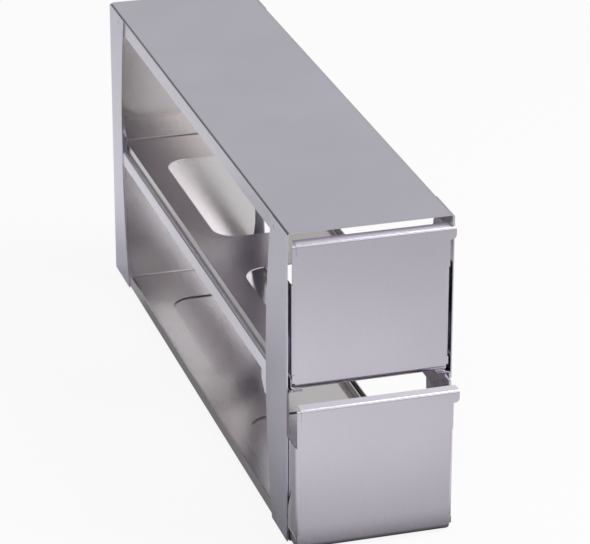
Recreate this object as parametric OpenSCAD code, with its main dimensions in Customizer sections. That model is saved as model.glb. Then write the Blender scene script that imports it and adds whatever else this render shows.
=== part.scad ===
// Freezer storage rack: an open sheet-steel frame with two pull-out drawers, one above the other.
// Millimetres, +Z up, drawers open towards -Y. The origin is the middle of the underside of the frame.

/* [Frame] */
// Width over the corner posts
rack_w = 141.4; // [120:0.2:180]
// Depth over the corner posts
rack_d = 600; // [450:5:700]
// Height from the underside to the top surface
rack_h = 276; // [250:1:320]
// Thickness of every sheet
sheet = 1; // [0.8:0.1:1.4]
// Outside radius of the folds of the panels, rails and drawers
fold_r = 2.4; // [1.6:0.1:3]
// Height of the side flanges of the top panel
top_flange_h = 15.5; // [10:0.5:18]
// Height of the side flanges of the bottom panel
bottom_flange_h = 12.5; // [10:0.5:18]

/* [Posts] */
// Width of a front post at its top and bottom ends
front_post_w = 44; // [30:1:60]
// Width of a rear post at its top and bottom ends
rear_post_w = 57; // [45:1:70]
// How far the inner edges of the posts bow to the rear at mid height
post_bow = 17; // [6:0.5:24]
// Width of the flange of a rear post that closes the back corner
rear_flange_w = 20; // [14:1:30]
// How far the posts stop below the top surface
post_drop = 1.5; // [0.5:0.1:3]

/* [Mid rails] */
// Height of the side of a mid rail
rail_h = 13.5; // [10:0.5:20]
// Width of the runner
runner_w = 12; // [8:0.5:18]
// Length of the deeper foot at the front end of a mid rail
foot_l = 77; // [66:1:100]
// How far the foot reaches below the rail
foot_drop = 18; // [8:0.5:22]
// Size of the sloped corner of the foot
foot_bevel = 9; // [3:0.5:12]

/* [Drawers] */
// Gap between the sides of a drawer and the posts
side_gap = 2; // [1.8:0.1:3]
// Gap under a drawer
slide_gap = 0.2; // [0.1:0.05:0.4]
// Gap between a closed drawer front and the posts
stop_gap = 0.3; // [0.2:0.05:0.6]
// Free height over a drawer
head_gap = 6.8; // [5:0.1:20]
// Free depth behind a closed drawer
rear_gap = 14; // [4:0.5:40]
// How far the lower drawer stands open
pull_out = 21; // [2:1:60]
// How far the upper drawer sits to the right of the middle
upper_play = 0.3; // [-1.2:0.1:1.2]
// How far the lower drawer sits to the right of the middle
lower_play = -1.6; // [-1.6:0.1:1.2]

/* [Drawer fronts] */
// Depth of the handle lip that is folded back along the top
lip_d = 11; // [8:0.5:20]
// How far the lip stops short of the left wing
lip_relief = 4.5; // [2:0.5:10]
// Width of the relief slit at the left end of the lip
slit_w = 0.4; // [0.2:0.1:1]
// Length of the relief slit
slit_l = 9.5; // [4:0.5:15]
// How far the lip and its stop tab stand past the right edge of the front
tab_reach = 4.1; // [3.5:0.1:6]
// Height of the stop tab
tab_h = 10.8; // [8:0.2:16]
// Radius of the lower corner of the stop tab
tab_r = 4; // [1:0.5:4.5]
// Room around the end of a lip in its notch in the right side of the frame
notch_gap = 0.7; // [0.7:0.1:1.2]
// Distance from the top of the front to the top of its side wings
wing_top = 34.3; // [20:0.1:45]
// Depth of the side wings
wing_d = 30; // [24:1:35]
// Depth of the cut-back lower part of the side wings
wing_low_d = 16; // [10:0.5:20]
// Height of the cut-back lower part of the side wings
wing_low_h = 37; // [30:1:45]
// How far the edge over the cut-back part slopes down to the rear
wing_slope = 29; // [0:1:30]
// Outside radius of the folds of the side wings
wing_r = 4.5; // [1.6:0.1:6]
// How far the free edges of the front are set back from the outside of the wings
edge_setback = 1; // [0.4:0.1:1.6]
// How far the bottom fold stops short of the sides of the front
corner_relief = 3.4; // [3.4:0.1:6]
// Outside radius of the bottom fold
bottom_r = 5; // [3:0.5:8]
// Length of the foot of the front that is welded on the tray floor
front_foot = 20; // [12:1:30]

/* [Drawer trays] */
// Height of the side lips
side_lip_h = 9.5; // [8:0.5:20]
// Distance from the rear ends of the side lips to the back wall
lip_end_gap = 30; // [15:1:60]
// Height of the back wall
back_h = 121; // [80:1:122]
// How far the back wall is narrower than the tray, on each side
back_inset = 1.2; // [0.5:0.1:3]
// Width of the cut lower corners of the back wall
back_cut_w = 5.5; // [2:0.5:10]
// Height of the cut lower corners of the back wall
back_cut_h = 45; // [20:1:70]
// Width of the floor openings
window_w = 80; // [50:1:100]
// Corner radius of the floor openings
window_r = 22; // [10:1:24]
// Floor left in front of the openings
floor_front = 50; // [36:1:70]
// Floor left between the openings
floor_bridge = 74; // [40:1:100]
// Floor left behind the openings
floor_rear = 64; // [50:1:80]

/* [Hidden] */
$fn = 64;
// Reach of a cutting tool past the sheet that it cuts
over = 1;
LEFT = -1;
RIGHT = 1;

steel = [0.74, 0.73, 0.76];
shaded_steel = [0.66, 0.65, 0.68];

front_y = -rack_d / 2;
rear_y = rack_d / 2;
panel_half = rack_w / 2 - sheet;
post_top = rack_h - post_drop;
inner_rear = rear_y - fold_r;
runner_z = rack_h / 2 - sheet;

front_half = panel_half - side_gap;
tray_half = front_half - sheet;
upper_bay_h = rack_h - sheet - runner_z;
lower_bay_h = runner_z - 2 * sheet;
drawer_h = min(upper_bay_h, lower_bay_h) - head_gap;
upper_z = runner_z + slide_gap;
lower_z = sheet + slide_gap;
tray_rear = rack_d + stop_gap - rear_gap;
wing_bottom = bottom_flange_h + fold_r / 2;
fold_top = sheet + bottom_r + sheet;
back_half = tray_half - back_inset;
window_l = (tray_rear - floor_front - floor_bridge - floor_rear) / 2;

// A quarter of a folded corner: centre of the fold at the origin, material in the +x +y quadrant
module fold(outer) {
    intersection() {
        difference() {
            circle(outer);
            circle(outer - sheet);
        }
        square(outer);
    }
}

// Section of a tray-like channel: a web between two upright legs, outside corner to outside corner
module channel(half, leg) {
    translate([-half + fold_r, 0]) square([2 * (half - fold_r), sheet]);
    for (side = [LEFT, RIGHT]) scale([side, 1]) {
        translate([half - fold_r, fold_r]) mirror([0, 1]) fold(fold_r);
        translate([half - sheet, fold_r]) square([sheet, leg - fold_r]);
    }
}

// Extrude a section drawn in x and z along y, from y0 to y1
module along_y(y0, y1) {
    translate([0, y1, 0]) rotate([90, 0, 0]) linear_extrude(y1 - y0) children();
}

// Extrude a section drawn in y and z along x, from x0 to x1
module along_x(x0, x1) {
    translate([x0, 0, 0]) rotate([90, 0, 90]) linear_extrude(x1 - x0) children();
}

// Extrude a plan along z, from z0 to z1
module along_z(z0, z1) {
    translate([0, 0, z0]) linear_extrude(z1 - z0) children();
}

// ---- Frame ----

// The side flanges end in front of the folds of the rear posts; the web reaches their flanges
module panel(flange_h) {
    along_y(front_y, inner_rear) channel(panel_half, flange_h);
    along_z(0, sheet) translate([-panel_half + fold_r, front_y])
        square([2 * (panel_half - fold_r), rack_d - sheet]);
}

// Slots in the right side of the frame that take the ends of the drawers' lips, seen from the side
module lip_notches() {
    for (drawer_z = [lower_z, upper_z])
        translate([front_y - over, drawer_z + drawer_h - sheet - notch_gap])
            square([over + lip_d - sheet - stop_gap + notch_gap, sheet + 2 * notch_gap]);
}

// The part of the slots that goes through a flange or a leg inside the right post
module inner_lip_notches() {
    along_x(panel_half - sheet - over, panel_half + over) lip_notches();
}

module bottom_panel() {
    color(shaded_steel) panel(bottom_flange_h);
}

module top_panel() {
    color(steel) difference() {
        translate([0, 0, rack_h]) mirror([0, 0, 1]) panel(top_flange_h);
        inner_lip_notches();
    }
}

// The bowed line of a post's inner edge, as a disc in y and z: it passes edge_y at both ends of the
// post and edge_y + post_bow at mid height
module bow_disc(edge_y) {
    bow_r = (pow(post_top / 2, 2) + pow(post_bow, 2)) / (2 * post_bow);
    translate([edge_y + post_bow - bow_r, post_top / 2]) circle(bow_r, $fn = 200);
}

// A flat strip on the outside of the panels' flanges
module front_post(side) {
    inner = side > 0 ? panel_half : -panel_half - sheet;
    color(steel) along_x(inner, inner + sheet) difference() {
        intersection() {
            translate([front_y, 0]) square([front_post_w + post_bow, post_top]);
            bow_disc(front_y + front_post_w);
        }
        if (side > 0) lip_notches();
    }
}

// A strip on the outside of the flanges, folded round the back corner
module rear_post(side) {
    color(steel) scale([side, 1, 1]) difference() {
        along_z(0, post_top) {
            translate([rack_w / 2 - sheet, rear_y - rear_post_w])
                square([sheet, rear_post_w - fold_r]);
            translate([rack_w / 2 - fold_r, rear_y - fold_r]) fold(fold_r);
            translate([rack_w / 2 - rear_flange_w, rear_y - sheet])
                square([rear_flange_w - fold_r, sheet]);
        }
        along_x(rack_w / 2 - sheet - over, rack_w / 2 + over) bow_disc(rear_y - rear_post_w);
    }
}

// An angle between the front and rear posts; its leg is the runner of the upper drawer
module mid_rail(side) {
    rail_bottom = runner_z - rail_h;
    foot_bottom = rail_bottom - foot_drop;
    foot_rear = front_y + foot_l;
    color(steel) difference() {
        scale([side, 1, 1]) {
            along_y(front_y, inner_rear) {
                translate([panel_half - sheet, rail_bottom]) square([sheet, rail_h - fold_r]);
                translate([panel_half - fold_r, runner_z - fold_r]) fold(fold_r);
                translate([panel_half - runner_w, runner_z - sheet]) square([runner_w - fold_r, sheet]);
            }
            along_x(panel_half - sheet, panel_half) polygon([
                [front_y, rail_bottom], [foot_rear, rail_bottom],
                [foot_rear, foot_bottom + foot_bevel], [foot_rear - foot_bevel, foot_bottom],
                [front_y, foot_bottom]
            ]);
        }
        if (side > 0) inner_lip_notches();
    }
}

// ---- Drawers ----
// A drawer is drawn with its front face at y = 0, its middle at x = 0 and its underside at z = 0

// Upright part of the front seen from the front: free edges, stop tab and notched lower corners
module front_outline() {
    free_half = front_half - edge_setback;
    low_half = front_half - corner_relief;
    wing_z = drawer_h - wing_top;
    translate([-low_half, 0]) square([2 * low_half, wing_z]);
    translate([-free_half, fold_top]) square([2 * free_half, wing_bottom - fold_top]);
    difference() {
        translate([-free_half, wing_z]) square([2 * free_half, drawer_h - wing_z]);
        translate([-front_half + lip_relief - slit_w, drawer_h - slit_l]) square([slit_w, slit_l + over]);
    }
    translate([-front_half + wing_r, wing_bottom])
        square([2 * (front_half - wing_r), wing_z - wing_bottom]);
    difference() {
        translate([0, drawer_h - tab_h]) square([front_half + tab_reach, tab_h]);
        translate([front_half + tab_reach - tab_r, drawer_h - tab_h]) difference() {
            square(tab_r);
            translate([0, tab_r]) circle(tab_r);
        }
    }
}

// Side section of the front: foot, bottom fold, wall, top fold and handle lip
module front_section() {
    translate([bottom_r, sheet]) square([front_foot, sheet]);
    translate([bottom_r, sheet + bottom_r]) rotate(180) fold(bottom_r);
    translate([0, sheet + bottom_r]) square([sheet, drawer_h - sheet - bottom_r - fold_r]);
    translate([fold_r, drawer_h - fold_r]) rotate(90) fold(fold_r);
    translate([fold_r, drawer_h - sheet]) square([lip_d - fold_r, sheet]);
}

// Plan of the side wings, folded back from the edges of the front
module wing_plan() {
    for (side = [LEFT, RIGHT]) scale([side, 1]) {
        translate([front_half - wing_r, wing_r]) mirror([0, 1]) fold(wing_r);
        translate([front_half - sheet, wing_r]) square([sheet, wing_d - wing_r]);
    }
}

// Side view of the cut under the rear of the wings
module wing_cut() {
    cut_top = wing_bottom + wing_low_h;
    polygon([
        [wing_low_d, wing_bottom - over], [wing_low_d, cut_top], [wing_d, cut_top - wing_slope],
        [wing_d + over, cut_top - wing_slope], [wing_d + over, wing_bottom - over]
    ]);
}

module drawer_front() {
    foot_half = tray_half - fold_r;
    color(steel) {
        // Wall, with the part of the top fold that the tab shares
        intersection() {
            along_x(-front_half, front_half + tab_reach) front_section();
            along_y(-over, sheet) front_outline();
        }
        // Bottom fold and foot
        intersection() {
            along_x(-foot_half, foot_half) front_section();
            translate([-foot_half, sheet, 0])
                cube([2 * foot_half, bottom_r + front_foot, sheet + bottom_r]);
        }
        // Handle lip
        intersection() {
            along_x(-front_half + lip_relief, front_half + tab_reach) front_section();
            translate([-front_half, sheet, drawer_h - fold_r])
                cube([2 * front_half + tab_reach, lip_d, fold_r]);
        }
        difference() {
            along_z(wing_bottom, drawer_h - wing_top) wing_plan();
            along_x(-front_half - over, front_half + over) wing_cut();
        }
    }
}

// Rounded rectangle with its middle at the origin
module window_outline() {
    for (sx = [LEFT, RIGHT], sy = [LEFT, RIGHT])
        translate([sx * (window_w / 2 - window_r), sy * (window_l / 2 - window_r)]) circle(window_r);
    square([window_w, window_l - 2 * window_r], center = true);
    square([window_w - 2 * window_r, window_l], center = true);
}

module back_wall_outline() {
    polygon([
        [-back_half, back_h], [-back_half, back_cut_h], [-back_half + back_cut_w, 0],
        [back_half - back_cut_w, 0], [back_half, back_cut_h], [back_half, back_h]
    ]);
}

module drawer_tray() {
    tray_front = bottom_r;
    lip_end = tray_rear - lip_end_gap;
    color(shaded_steel) difference() {
        union() {
            along_y(tray_front, lip_end) channel(tray_half, side_lip_h);
            along_z(0, sheet) translate([-back_half + back_cut_w, tray_front])
                square([2 * (back_half - back_cut_w), tray_rear - fold_r - tray_front]);
            intersection() {
                along_x(-back_half, back_half) {
                    translate([tray_rear - fold_r, fold_r]) mirror([0, 1]) fold(fold_r);
                    translate([tray_rear - sheet, fold_r]) square([sheet, back_h - fold_r]);
                }
                along_y(tray_rear - fold_r, tray_rear) back_wall_outline();
            }
        }
        for (centre = [floor_front + window_l / 2, tray_rear - floor_rear - window_l / 2])
            translate([0, centre, -over]) linear_extrude(sheet + 2 * over) window_outline();
    }
}

module place_upper() {
    translate([upper_play, front_y - stop_gap - sheet, upper_z]) children();
}

module place_lower() {
    translate([lower_play, front_y - stop_gap - sheet - pull_out, lower_z]) children();
}

top_panel();
bottom_panel();
front_post(LEFT);  // front_left_post
front_post(RIGHT);  // front_right_post
rear_post(LEFT);  // rear_left_post
rear_post(RIGHT);  // rear_right_post
mid_rail(LEFT);  // left_mid_rail
mid_rail(RIGHT);  // right_mid_rail
place_upper() drawer_front();  // upper_drawer_front
place_upper() drawer_tray();  // upper_drawer_tray
place_lower() drawer_front();  // lower_drawer_front
place_lower() drawer_tray();  // lower_drawer_tray
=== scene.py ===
# %% [markdown]
# # A freezer storage rack
# The real object is a tall, narrow rack of thin stainless sheet. Two drawers with open sides slide in
# it, one above the other, and hold square boxes of sample tubes. Such a rack could be modelled from
# plain planes with a Solidify modifier, but its folds, notches and gaps are exact sheet-metal work. So
# the imported CAD model is loaded as a fixed frame, and this lesson gives it steel, light, the small
# marks that welding leaves, and dark cut edges that are partly painted shade.

# %% Load the frame
import math
import bmesh
import bpy
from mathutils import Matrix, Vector


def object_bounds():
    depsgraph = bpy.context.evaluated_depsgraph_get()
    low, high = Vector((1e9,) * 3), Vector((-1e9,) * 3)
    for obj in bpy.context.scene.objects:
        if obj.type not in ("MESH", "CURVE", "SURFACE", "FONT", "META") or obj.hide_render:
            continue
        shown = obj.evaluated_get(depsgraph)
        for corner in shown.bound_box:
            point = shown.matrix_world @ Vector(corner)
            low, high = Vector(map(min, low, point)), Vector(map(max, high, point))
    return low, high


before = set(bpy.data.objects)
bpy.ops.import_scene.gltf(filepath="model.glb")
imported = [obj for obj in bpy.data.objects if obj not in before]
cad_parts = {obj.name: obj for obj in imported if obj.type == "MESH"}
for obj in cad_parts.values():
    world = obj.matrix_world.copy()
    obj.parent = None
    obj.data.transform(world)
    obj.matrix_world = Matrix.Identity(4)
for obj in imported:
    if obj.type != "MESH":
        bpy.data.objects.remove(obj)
cad_box = [list(corner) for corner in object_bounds()]
MM = 0.001
print("nodes", sorted(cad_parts), "box", cad_box)

# %% [markdown]
# ## The camera
# The rack is seen from the front, a little from the left and from above, with a long lens, so that its
# upright edges stay nearly parallel. A short lens close by would show the same faces, but it would
# stretch the near corner, so the camera stands nearly three metres away instead.

# %% Camera
LENS_MM = 187.57
SENSOR_MM = 36.0
FAR_CLIP = 50.0
CAMERA_PLACE = (-0.7084, -2.4504, 1.2192)
CAMERA_DOWN = 23.52
CAMERA_TURN = -16.69
LEVEL = 90
camera_data = bpy.data.cameras.new("camera")
camera_data.lens = LENS_MM
camera_data.sensor_width = SENSOR_MM
camera_data.clip_end = FAR_CLIP
camera = bpy.data.objects.new("camera", camera_data)
bpy.context.scene.collection.objects.link(camera)
camera.location = CAMERA_PLACE
camera.rotation_euler = (math.radians(LEVEL - CAMERA_DOWN), 0, math.radians(CAMERA_TURN))
bpy.context.scene.camera = camera
print("camera at", tuple(camera.location))

# %% [markdown]
# ## Node helpers
# A material is a small network of nodes. It could be drawn by hand in the shader editor, but seven
# finishes share most of it. These helpers add a node, link it and set its plain values, so that each
# finish below reads as a short recipe.

# %% Adding nodes
def add(tree, kind, values=None, **links):
    """Add a node. values sets sockets or settings by name; links feeds sockets from other outputs."""
    node = tree.nodes.new(kind)
    for name, value in (values or {}).items():
        if name in node.inputs:
            node.inputs[name].default_value = value
        else:
            setattr(node, name, value)
    for name, output in links.items():
        tree.links.new(output, node.inputs[name.replace("_", " ")])
    return node


def fed(tree, socket, value):
    """Give a socket a plain value, or link it where value is another node's output."""
    if isinstance(value, bpy.types.NodeSocket):
        tree.links.new(value, socket)
    else:
        socket.default_value = value


def axes(tree, vector):
    """The X, Y and Z outputs of a vector."""
    return add(tree, "ShaderNodeSeparateXYZ", Vector=vector).outputs


print("helpers for nodes are ready")

# %% [markdown]
# ## Arithmetic in nodes
# Most of a recipe is arithmetic on places and directions: how high a spot is, which way the sheet
# faces there, how far a weld is. A Mix node keeps one set of sockets for each kind of data, so the
# places of its colour sockets get names here.

# %% Arithmetic helpers
MIX_FIRST, MIX_SECOND, MIX_RESULT = 6, 7, 2
NUMBER_STEPS = {"DISTANCE", "DOT_PRODUCT", "LENGTH"}


def ranged(tree, source, low, high, from_low=0.0, from_high=1.0):
    """A number between low and high that follows source between from_low and from_high."""
    return add(tree, "ShaderNodeMapRange", {"From Min": from_low, "From Max": from_high,
               "To Min": low, "To Max": high}, Value=source).outputs["Result"]


def worked(tree, operation, first, second=0.0):
    """One step of arithmetic on numbers."""
    node = add(tree, "ShaderNodeMath", {"operation": operation})
    fed(tree, node.inputs[0], first)
    fed(tree, node.inputs[1], second)
    return node.outputs[0]


def worked_vector(tree, operation, first, second=(0.0, 0.0, 0.0)):
    """One step of arithmetic on vectors, which gives a vector or, for a length, a number."""
    node = add(tree, "ShaderNodeVectorMath", {"operation": operation})
    fed(tree, node.inputs[0], first)
    fed(tree, node.inputs[1], second)
    return node.outputs["Value" if operation in NUMBER_STEPS else "Vector"]


def scaled(tree, vector, factor):
    """A vector, or a colour, times a number."""
    node = add(tree, "ShaderNodeVectorMath", {"operation": "SCALE"}, Scale=factor)
    fed(tree, node.inputs[0], vector)
    return node.outputs["Vector"]


def mixed(tree, share, first, second):
    """A colour between first and second."""
    node = add(tree, "ShaderNodeMix", {"data_type": "RGBA"}, Factor=share)
    fed(tree, node.inputs[MIX_FIRST], first)
    fed(tree, node.inputs[MIX_SECOND], second)
    return node.outputs[MIX_RESULT]


def banded(tree, source, stops):
    """A grey that follows source through stops, each a position from 0 to 1 and a level."""
    bands = add(tree, "ShaderNodeValToRGB", Fac=source)
    while len(bands.color_ramp.elements) < len(stops):
        bands.color_ramp.elements.new(0.5)
    for stop, (position, level) in zip(bands.color_ramp.elements, stops):
        stop.position = position
        stop.color = (level, level, level, 1)
    return bands.outputs["Color"]


print("helpers for arithmetic are ready")

# %% [markdown]
# ## Folds
# A fold is a narrow curved face, so it shows as a thin bright or dark line. It gets a little more
# gloss than flat sheet here, as if the bending tool had pressed it smooth, so that the line stays
# crisp. The folds could be split off as faces with a finish of their own. Reading the direction of
# the surface is simpler and follows the shape: flat sheet faces along one axis, and a fold between
# two of them faces partly sideways and partly up.

# %% Burnished folds
FOLD_GLOSS = 0.45
FOLD_START, FOLD_FULL = 0.05, 0.2


def faces(tree, axis):
    """How squarely the surface faces along an axis, from 0 to 1."""
    normal = add(tree, "ShaderNodeNewGeometry").outputs["Normal"]
    return worked(tree, "ABSOLUTE", axes(tree, normal)[axis])


def burnished(tree):
    """1 on flat sheet and less on a fold, which the bending tool has pressed smoother."""
    both = worked(tree, "MINIMUM", faces(tree, "X"), faces(tree, "Z"))
    return ranged(tree, both, 1.0, FOLD_GLOSS, FOLD_START, FOLD_FULL)


print("roughness on a fold", FOLD_GLOSS, "of that on flat sheet")

# %% [markdown]
# ## Weld marks
# The posts are spot-welded to the panels, and each weld leaves a dark pinhead near a corner. Small
# discs could be laid on the sheet, but they would be pieces of their own with an edge. A dark spot in
# the colour costs nothing. The place is folded over at the middle of the rack, both ways, so that one
# spot gives the same mark at both ends and at top and bottom.

# %% Weld marks
RACK_MIDDLE = cad_box[1][2] / 2
SPOT_CORE, SPOT_RIM = 0.7 * MM, 1.7 * MM
SPOT_COLOUR = (0.16, 0.15, 0.17, 1)
POST_SPOTS = [(263 * MM, 129.8 * MM)]


def spotted(tree, place, surface, spot):
    """The surface colour with a weld mark at spot, counted along and up from the rack's middle."""
    here = axes(tree, place)
    level = worked(tree, "SUBTRACT", here["Z"], RACK_MIDDLE)
    folded = add(tree, "ShaderNodeCombineXYZ", Y=worked(tree, "ABSOLUTE", here["Y"]),
                 Z=worked(tree, "ABSOLUTE", level)).outputs[0]
    away = worked_vector(tree, "DISTANCE", folded, (0.0, *spot))
    return mixed(tree, ranged(tree, away, 1.0, 0.0, SPOT_CORE, SPOT_RIM), surface, SPOT_COLOUR)


print("weld marks at", POST_SPOTS)

# %% [markdown]
# ## Cut edges, dark with painted shade
# The floor openings of a drawer are punched out, and the raw cut edge of the sheet is dull. Its dark
# colour here is partly that dull edge and partly painted shade, standing in for the shadow in the thin
# gap beside it. It shows best in the lower drawer, whose floor lies on the base. The edge is one
# millimetre high, far too thin to paint by hand, so the recipe darkens every upright face that lies
# below the top of the drawer's floor.

# %% Cut edges and painted shade
# The dark edge colour is partly the dull raw cut and partly painted shade of the gap beside it.
CUT_EDGE_AND_SHADE_COLOUR = (0.13, 0.12, 0.13, 1)
UPRIGHT_BELOW = 0.3
SHEET_THICK, HAIR = 1.0 * MM, 0.02 * MM
lower_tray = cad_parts["lower_drawer_tray"].data
lower_floor_top = min(corner.co.z for corner in lower_tray.vertices) + SHEET_THICK + HAIR


def shaded_cut_edges(tree, place, surface, top):
    """The surface colour, dark on the thin upright faces that lie below top: dull edge and painted
    shade.
    """
    upright = worked(tree, "LESS_THAN", faces(tree, "Z"), UPRIGHT_BELOW)
    low = worked(tree, "LESS_THAN", axes(tree, place)["Z"], top)
    # Paints the cut edges dark, partly as painted shade.
    return mixed(tree, worked(tree, "MULTIPLY", upright, low), surface, CUT_EDGE_AND_SHADE_COLOUR)


print("cut edges below", round(lower_floor_top, 5))

# %% [markdown]
# ## Which part of the room a sheet mirrors
# Satin steel mirrors its surroundings, and the angle of a sheet decides which part of the room it
# shows. The mesh keeps its true shape, because the drawers have to slide. Only the direction that the
# shader works with leans over, by an amount set for the tone: about 6 degrees on the flanges
# of the top panel, 12 on the left rail, and 46 on the lips of the drawers. A real sheet may stand off
# by the first of these. The last is a trick of shading, without which the lips mirror the bright sky
# and turn white.

# %% Leaning directions
FACING_FROM, FACING_FULL = 0.90, 0.99
LIP_LEAN = ("Z", (0, -1, 0), 1.05)
RAIL_LEAN = ("X", (0, 0, 1), 0.22)
PANEL_LEAN = ("X", (0, 0, -1), 0.10)


def leaned(tree, facing, toward, amount):
    """The normal, leaned by amount along toward where the sheet faces along the facing axis."""
    normal = add(tree, "ShaderNodeNewGeometry").outputs["Normal"]
    share = ranged(tree, faces(tree, facing), 0.0, amount, FACING_FROM, FACING_FULL)
    total = worked_vector(tree, "ADD", normal, scaled(tree, toward, share))
    return worked_vector(tree, "NORMALIZE", total)


print("leans of lip, rail and panel", LIP_LEAN[2], RAIL_LEAN[2], PANEL_LEAN[2])

# %% [markdown]
# ## Satin stainless steel
# Rolled stainless sheet is a metal with a soft, slightly blurred reflection. Close up it has a fine
# grain along the rolling direction. Over a hand's width the reflection wanders a little, because thin
# sheet is never quite flat. An image of brushed metal would repeat and would need unwrapped sheets.
# So the recipe is a full metal whose roughness follows a stretched fine noise. A faint bump adds the
# same grain, and a second, very slow bump adds the waviness.

# %% Steel tones
GRAIN_DEPTH = 0.02 * MM
WAVE_DEPTH = 0.6 * MM
GRAIN_BLUR = 0.04
GRAIN_DETAIL, GRAIN_CRISP = 4.0, 0.6
PATCH_SCALE, PATCH_DETAIL = 9.0, 2.0
WAVE_SCALE, WAVE_DETAIL = 5.0, 1.0
NOISE_LOW, NOISE_HIGH = 0.3, 0.7
DARK_PATCH, LIGHT_PATCH = 0.965, 1.03


def clouds(tree, place, scale, detail, **settings):
    """A noise over the place, from about 0.3 to 0.7."""
    return add(tree, "ShaderNodeTexNoise", {"Scale": scale, "Detail": detail, **settings},
               Vector=place).outputs["Fac"]


def patchy(tree, place, colour):
    """The colour with soft patches that are a little darker and a little lighter."""
    patches = clouds(tree, place, PATCH_SCALE, PATCH_DETAIL)
    dark = tuple(part * DARK_PATCH for part in colour) + (1,)
    light = tuple(min(1, part * LIGHT_PATCH) for part in colour) + (1,)
    return mixed(tree, ranged(tree, patches, 0.0, 1.0, NOISE_LOW, NOISE_HIGH), dark, light)


print("grain", GRAIN_DEPTH, "waves", WAVE_DEPTH)

# %% Steel recipe
def steel(name, colour, roughness, grain, spots=(), lean=None, cut_top=None):
    """Satin sheet steel. grain is the noise scale along x, y and z: low along the rolling direction."""
    material = bpy.data.materials.new(name)
    material.use_nodes = True
    tree = material.node_tree
    shader = tree.nodes["Principled BSDF"]
    shader.inputs["Metallic"].default_value = 1.0
    place = add(tree, "ShaderNodeTexCoord").outputs["Object"]
    stretched = add(tree, "ShaderNodeMapping", {"Scale": grain}, Vector=place).outputs["Vector"]
    lines = clouds(tree, stretched, 1.0, GRAIN_DETAIL, Roughness=GRAIN_CRISP)
    blur = ranged(tree, lines, roughness - GRAIN_BLUR, roughness + GRAIN_BLUR, NOISE_LOW, NOISE_HIGH)
    tree.links.new(worked(tree, "MULTIPLY", blur, burnished(tree)), shader.inputs["Roughness"])
    surface = patchy(tree, place, colour)
    for spot in spots:
        surface = spotted(tree, place, surface, spot)
    if cut_top is not None:
        surface = shaded_cut_edges(tree, place, surface, cut_top)
    tree.links.new(surface, shader.inputs["Base Color"])
    slow = clouds(tree, place, WAVE_SCALE, WAVE_DETAIL)
    waves = add(tree, "ShaderNodeBump", {"Strength": 1.0, "Distance": WAVE_DEPTH}, Height=slow)
    if lean:
        tree.links.new(leaned(tree, *lean), waves.inputs["Normal"])
    fine = add(tree, "ShaderNodeBump", {"Strength": 1.0, "Distance": GRAIN_DEPTH}, Height=lines,
               Normal=waves.outputs["Normal"])
    tree.links.new(fine.outputs["Normal"], shader.inputs["Normal"])
    return material


print("the steel recipe is ready")

# %% [markdown]
# ## Seven finishes, their tones partly painted light and shade
# All pieces are cut from the same kind of sheet, so one finish would be the natural choice. But a
# studio of a floor, a sky and two lamps is simpler than a real room, and with one finish some pieces
# come out too dark in it and others too pale. So tone and gloss are set piece by piece for this view.
# For this reason alone the left rail is much paler than its twin on the right. The grain runs along
# the longer side of the sheet that a piece is cut from: upright on the posts and the drawer fronts,
# along the depth on the panels, rails and trays. The base and the trays are the smoothest, so that the
# insides of the rack mirror one another clearly.

# %% Finishes
# Painted light and shade: the tones below differ from piece to piece only to make up for the light that
# each piece gets in this studio; the left rail is painted far paler for this.
SHEET = (0.642, 0.620, 0.700)
BASE = (0.660, 0.636, 0.655)
POST = (0.680, 0.655, 0.758)
# Painted light: the rail's tone is far paler than the others, standing in for light it does not get
# here.
RAIL_PAINTED_PALE = (0.880, 0.860, 0.940)
FRONT = (0.652, 0.620, 0.694)
UPPER_TRAY = (0.598, 0.568, 0.566)
LOWER_TRAY = (0.682, 0.660, 0.670)
FINE, LONG = 2500.0, 60.0
ALONG_DEPTH = (FINE, LONG, FINE)
UPRIGHT = (FINE, FINE, LONG)
finishes = {
    "frame_steel": steel("satin_frame", SHEET, 0.22, ALONG_DEPTH, lean=PANEL_LEAN),
    "base_steel": steel("satin_base", BASE, 0.14, ALONG_DEPTH),
    "rail_steel_painted_pale": steel("satin_rail_painted_pale", RAIL_PAINTED_PALE, 0.22, ALONG_DEPTH, lean=RAIL_LEAN),
    "post_steel": steel("satin_post", POST, 0.24, UPRIGHT, spots=POST_SPOTS),
    "front_steel": steel("satin_front", FRONT, 0.24, UPRIGHT, lean=LIP_LEAN),
    "upper_tray_steel": steel("satin_upper_tray", UPPER_TRAY, 0.16, ALONG_DEPTH),
    "lower_tray_steel": steel("satin_lower_tray", LOWER_TRAY, 0.12, ALONG_DEPTH,
                              cut_top=lower_floor_top),
}
print("finishes", sorted(finishes))

# %% [markdown]
# ## Dressing the CAD nodes
# Each node keeps its exact shape and only gets a finish. A node's name says what piece it is, so the
# name picks the finish.

# %% Dress the nodes
NAME_ENDS = {"_post": "post_steel", "_front": "front_steel"}
SINGLE_PIECES = {"bottom_panel": "base_steel", "left_mid_rail": "rail_steel_painted_pale",
                 "upper_drawer_tray": "upper_tray_steel", "lower_drawer_tray": "lower_tray_steel"}


def finish_of(node):
    """The finish of a node, by the end of its name or by its whole name."""
    for end, finish in NAME_ENDS.items():
        if node.endswith(end):
            return finish
    return SINGLE_PIECES.get(node, "frame_steel")


for name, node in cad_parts.items():
    node.data.materials.clear()
    node.data.materials.append(finishes[finish_of(name)])
print("dressed", {name: finish_of(name) for name in sorted(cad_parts)})

# %% [markdown]
# ## The floor sheet
# Steel shows what stands around it, so it is usually lit in a white tent: large soft lights above and
# in front, and a pale floor that the upright sheets mirror. A curved backdrop is not needed here,
# because the camera looks down and sees floor nearly everywhere.

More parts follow.
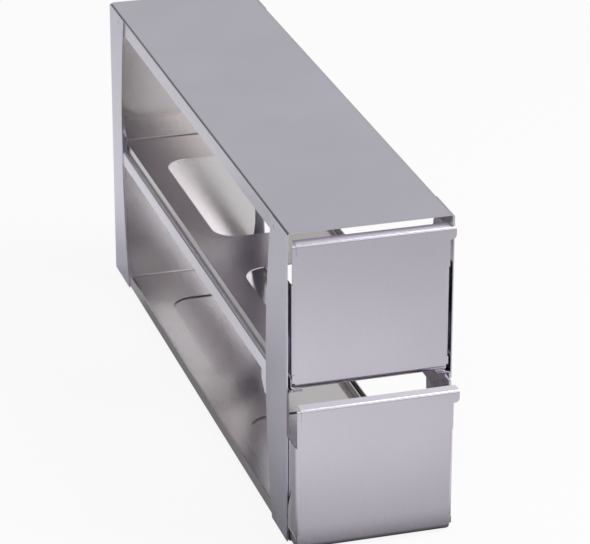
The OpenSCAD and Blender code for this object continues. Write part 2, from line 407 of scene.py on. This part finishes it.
# %% Floor sheet
FLOOR_HALF = 6.0
floor_mesh = bpy.data.meshes.new("floor")
bm = bmesh.new()
bmesh.ops.create_grid(bm, x_segments=1, y_segments=1, size=FLOOR_HALF)
bm.to_mesh(floor_mesh)
bm.free()
floor = bpy.data.objects.new("floor", floor_mesh)
bpy.context.scene.collection.objects.link(floor)
print("floor", 2 * FLOOR_HALF, "metres wide")

# %% [markdown]
# ## How far a spot of floor is from the rack
# The front of a drawer mirrors the floor before it: low on the front the floor close by, higher up
# the floor further out. So painted shade on the floor, darker near the rack, becomes a gradient up
# the front. The gradient follows one number, the reach from the foot of the rack. It grows slowly to
# the front, where a tall sheet mirrors a long strip of floor, and fast to the right and the rear, where
# the steel mirrors only the bright floor close beside the rack.

# %% Reach from the rack
BASE_HALF_WIDTH, BASE_HALF_DEPTH = 0.07, 0.30
SHADE_REAR = 0.18
FRONT_STEEP, REAR_STEEP, RIGHT_STEEP = 0.62, 3.0, 8.0
FULL_REACH = 0.25
AHEAD_FADE = 0.05


def ahead_of_rack(tree, here):
    """How far a spot lies before the front of the rack, as reach."""
    ahead = worked(tree, "MULTIPLY", here["Y"], -FRONT_STEEP)
    return worked(tree, "SUBTRACT", ahead, FRONT_STEEP * BASE_HALF_DEPTH)


def reach_from_rack(tree, here, before):
    """The reach of a spot from the foot of the rack, on all four sides."""
    behind = worked(tree, "MULTIPLY", worked(tree, "SUBTRACT", here["Y"], SHADE_REAR), REAR_STEEP)
    behind = worked(tree, "MINIMUM", behind, FULL_REACH)
    to_left = worked(tree, "SUBTRACT", worked(tree, "MULTIPLY", here["X"], -1.0), BASE_HALF_WIDTH)
    to_right = worked(tree, "MULTIPLY", worked(tree, "SUBTRACT", here["X"], BASE_HALF_WIDTH),
                      ranged(tree, before, RIGHT_STEEP, 0.0, 0.0, AHEAD_FADE))
    beside = worked(tree, "MINIMUM", worked(tree, "MAXIMUM", to_left, to_right), FULL_REACH)
    beyond = worked(tree, "MAXIMUM", before, behind)
    clear = add(tree, "ShaderNodeCombineXYZ", X=worked(tree, "MAXIMUM", beside, 0.0),
                Y=worked(tree, "MAXIMUM", beyond, 0.0)).outputs[0]
    return worked_vector(tree, "LENGTH", clear)


print("reach counts", FRONT_STEEP, "to the front,", RIGHT_STEEP, "to the right")

# %% [markdown]
# ## Two darker places on the floor
# The drawer fronts are darker at their foot, where they mirror the shade in which they stand, and
# they are a little darker to the right. A dark card laid on the floor would do this in a real studio.
# Here one soft line before the front is the shade, and the floor before the right half is dimmed.

# %% Shade before the fronts
CONTACT_DIM, CONTACT_LINE, CONTACT_REACH = 0.75, 0.014, 0.024
CONTACT_HALF_WIDTH, CONTACT_END = 0.08, 0.16
RIGHT_DIM, RIGHT_FULL = 0.24, 0.2


def shade_before_fronts(tree, here, before):
    """How much the floor is dimmed before the drawers, from 0 to 1."""
    off_line = worked(tree, "ABSOLUTE", worked(tree, "SUBTRACT", before, CONTACT_LINE))
    line = ranged(tree, off_line, CONTACT_DIM, 0.0, 0.0, CONTACT_REACH)
    ends = ranged(tree, worked(tree, "ABSOLUTE", here["X"]), 1.0, 0.0,
                  CONTACT_HALF_WIDTH, CONTACT_END)
    to_right = worked(tree, "MULTIPLY", ranged(tree, before, 0.0, RIGHT_DIM, 0.0, AHEAD_FADE),
                      ranged(tree, here["X"], 0.0, 1.0, 0.0, RIGHT_FULL))
    return worked(tree, "ADD", to_right, worked(tree, "MULTIPLY", line, ends))


print("shade before the fronts", CONTACT_DIM, "to the right", RIGHT_DIM)

# %% [markdown]
# ## The paper
# A pale matt floor keeps the soft shadow of the rack. The gradients are painted shade, darker near
# the rack and before the fronts, for the steel only: the camera itself sees an even sheet, and most of
# it as clean white. Both come from one node that tells which kind of ray has reached the floor. Where
# the steel saw the same even white as the camera, it would look paler and flatter than it does here.

# %% Floor paper
# Painted shade for the steel's reflections: the floor's grey by reach from the rack, darker close to
# it.
PAINTED_FLOOR_SHADE = [(0.0, 0.62), (0.04, 0.66), (0.07, 0.74), (0.11, 0.90),
        (0.17, 0.98), (0.27, 0.96), (0.35, 0.80), (1.0, 0.90)]
SEEN_PALE = (0.80, 0.80, 0.80, 1)
SEEN_GLOW = 0.9
WHITE = {"Color": (1, 1, 1, 1), "Strength": 1.0}
paper = bpy.data.materials.new("paper_floor")
paper.use_nodes = True
tree = paper.node_tree
tree.nodes.clear()
seen = add(tree, "ShaderNodeLightPath").outputs["Is Camera Ray"]
here = axes(tree, add(tree, "ShaderNodeTexCoord").outputs["Object"])
before = ahead_of_rack(tree, here)
shade = shade_before_fronts(tree, here, before)
kept = worked(tree, "ADD", worked(tree, "MULTIPLY", shade, -1.0), 1.0)
# The floor's painted shade, as the steel sees it.
tones = banded(tree, reach_from_rack(tree, here, before), PAINTED_FLOOR_SHADE)
sheet_tone = mixed(tree, seen, scaled(tree, tones, kept), SEEN_PALE)
lit = add(tree, "ShaderNodeBsdfDiffuse", Color=sheet_tone).outputs[0]
glow = add(tree, "ShaderNodeEmission", WHITE).outputs[0]
blend = add(tree, "ShaderNodeMixShader", Fac=ranged(tree, seen, 0.0, SEEN_GLOW))
fed(tree, blend.inputs[1], lit)
fed(tree, blend.inputs[2], glow)
add(tree, "ShaderNodeOutputMaterial", Surface=blend.outputs[0])
floor_mesh.materials.append(paper)
print("floor paper has", len(tree.nodes), "nodes")

# %% [markdown]
# ## The sky
# The top panel mirrors the sky behind the rack at a low angle, and the inner walls mirror the sky to
# the sides. An even white sky would make all of them flat. So the sky is dim at the horizon and
# brighter above, it is brighter toward the front right like a room with a window, and a dark flag
# hangs at the rear left. A flag is the black cloth with which a studio puts depth into steel. The
# camera sees plain white instead.

# %% Sky
SKY = [(0.0, 0.14), (0.08, 0.20), (0.20, 0.56), (0.40, 0.62),
       (0.55, 0.64), (0.75, 0.70), (1.0, 0.50)]
WINDOW_WAY = (0.6, -0.8, 0.0)
WINDOW_SHARE = 0.6
WINDOW_FROM, WINDOW_FULL = 0.2, 0.9
FLAG_WAY = (-0.62, 0.62, 0.48)
FLAG_DIM = 0.35
FLAG_FROM, FLAG_FULL = 0.76, 0.90
world = bpy.data.worlds.new("studio")
bpy.context.scene.world = world
world.use_nodes = True
tree = world.node_tree
tree.nodes.clear()
way = add(tree, "ShaderNodeTexCoord").outputs["Generated"]
sky_tones = banded(tree, axes(tree, way)["Z"], SKY)
window = ranged(tree, worked_vector(tree, "DOT_PRODUCT", way, WINDOW_WAY),
                1.0, 1.0 + WINDOW_SHARE, WINDOW_FROM, WINDOW_FULL)
flag = ranged(tree, worked_vector(tree, "DOT_PRODUCT", way, FLAG_WAY),
              1.0, FLAG_DIM, FLAG_FROM, FLAG_FULL)
strength = worked(tree, "MULTIPLY", window, flag)
soft = add(tree, "ShaderNodeBackground", Color=sky_tones, Strength=strength)
white = add(tree, "ShaderNodeBackground", WHITE)
seen = add(tree, "ShaderNodeLightPath").outputs["Is Camera Ray"]
pick = add(tree, "ShaderNodeMixShader", Fac=seen)
fed(tree, pick.inputs[1], soft.outputs[0])
fed(tree, pick.inputs[2], white.outputs[0])
add(tree, "ShaderNodeOutputWorld", Surface=pick.outputs[0])
print("sky has", len(tree.nodes), "nodes")

# %% [markdown]
# ## The lamps
# One large soft lamp high on the right is the key light. It gives the soft shadow on the left. A
# second, small and low lamp before the rack stands for a window. A big one would wash out the inside
# of the rack, so this one is narrow and weak, and shows as soft bright patches in there.

# %% Lamps
def lamp(name, place, aim, width, height, power):
    """A rectangular soft light at place that shines at aim."""
    data = bpy.data.lights.new(name, "AREA")
    data.shape = "RECTANGLE"
    data.size, data.size_y, data.energy = width, height, power
    lamp_object = bpy.data.objects.new(name, data)
    bpy.context.scene.collection.objects.link(lamp_object)
    lamp_object.location = place
    lamp_object.rotation_euler = (Vector(aim) - Vector(place)).to_track_quat("-Z", "Y").to_euler()
    print("lamp", name, power, "watts at", place)


lamp("key", place=(1.15, -0.45, 1.75), aim=(0, -0.1, 0.1), width=0.9, height=1.4, power=18.0)
lamp("window", place=(0.72, -1.95, 0.90), aim=(0.06, 0.28, 0.05), width=0.7, height=0.30, power=0.80)

# %% [markdown]
# ## The view transform
# Standard is the view that shows the tones as they were set, without a film look.

# %% View transform
bpy.context.scene.view_settings.view_transform = "Standard"
